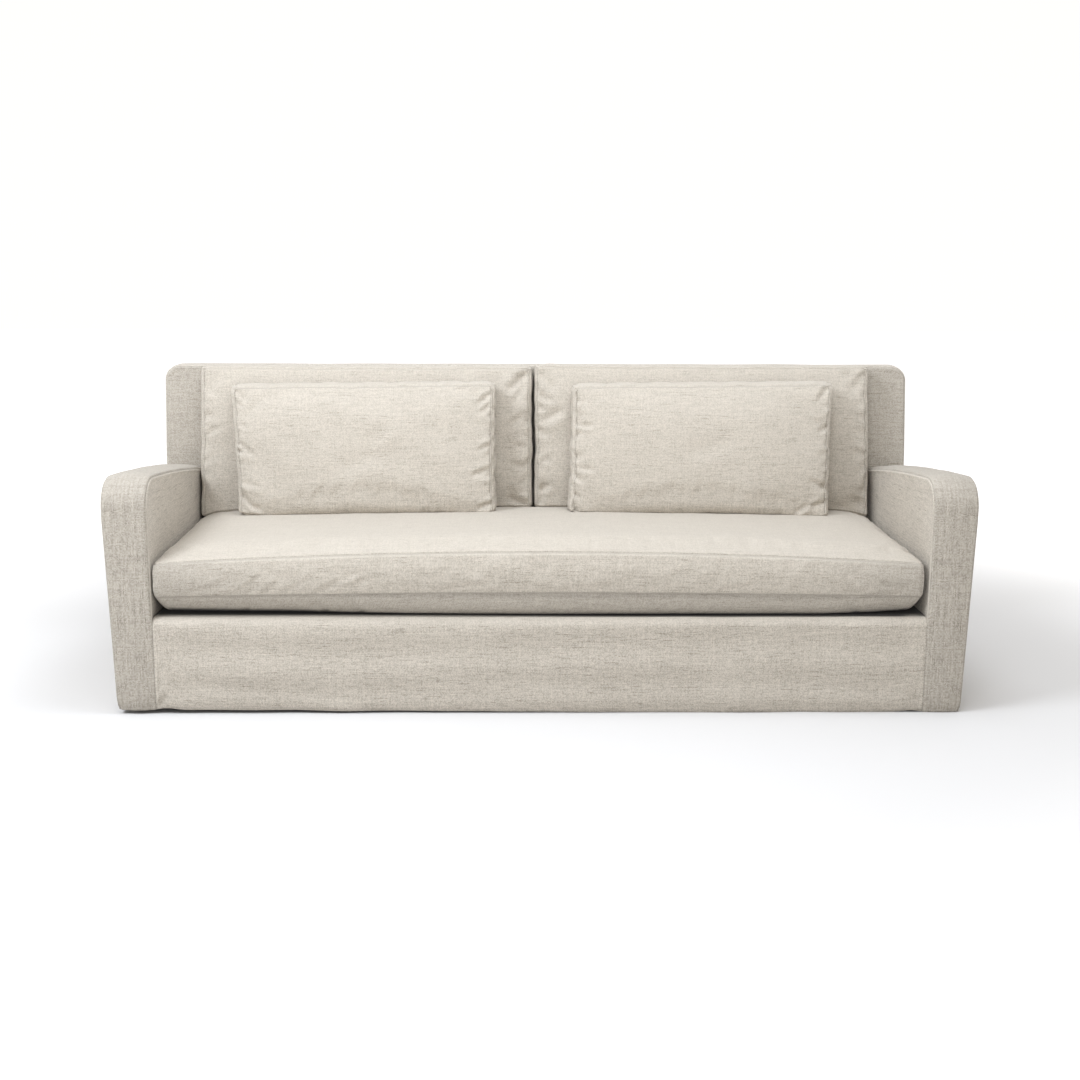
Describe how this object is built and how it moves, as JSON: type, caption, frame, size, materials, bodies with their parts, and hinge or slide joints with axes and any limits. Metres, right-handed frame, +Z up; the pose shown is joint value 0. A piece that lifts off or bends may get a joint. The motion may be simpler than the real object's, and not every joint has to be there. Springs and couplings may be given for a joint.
{
  "type": "fitted sofa slipcover with boxed cushions",
  "caption": "Fitted linen cover for a straight three-seat sofa with rounded arm fronts, a boxed back, and boxed seat, back and lumbar cushions in the same cloth.",
  "frame": {"origin": "on the floor under the middle of the cover", "axes": "+Z up, -Y towards the sitter's feet, X across the seat"},
  "size_m": [2.208, 0.9203, 0.8304],
  "materials": {
    "panel_linen": "matt heavy slub linen, natural oatmeal",
    "cushion_linen": "the same matt slub linen over soft filling"
  },
  "bodies": {
    "root": {"arm_strip_left": "panel_linen", "arm_strip_right": "panel_linen", "arm_inner_left": "panel_linen", "arm_inner_right": "panel_linen", "arm_outer_left": "panel_linen", "arm_outer_right": "panel_linen", "front_apron": "panel_linen", "deck": "panel_linen", "back_inner": "panel_linen", "back_strip": "panel_linen", "back_outer": "panel_linen", "seat_cushion": "cushion_linen", "back_cushion_left": "cushion_linen", "back_cushion_right": "cushion_linen", "lumbar_left": "cushion_linen", "lumbar_right": "cushion_linen"}
  },
  "joints": []
}
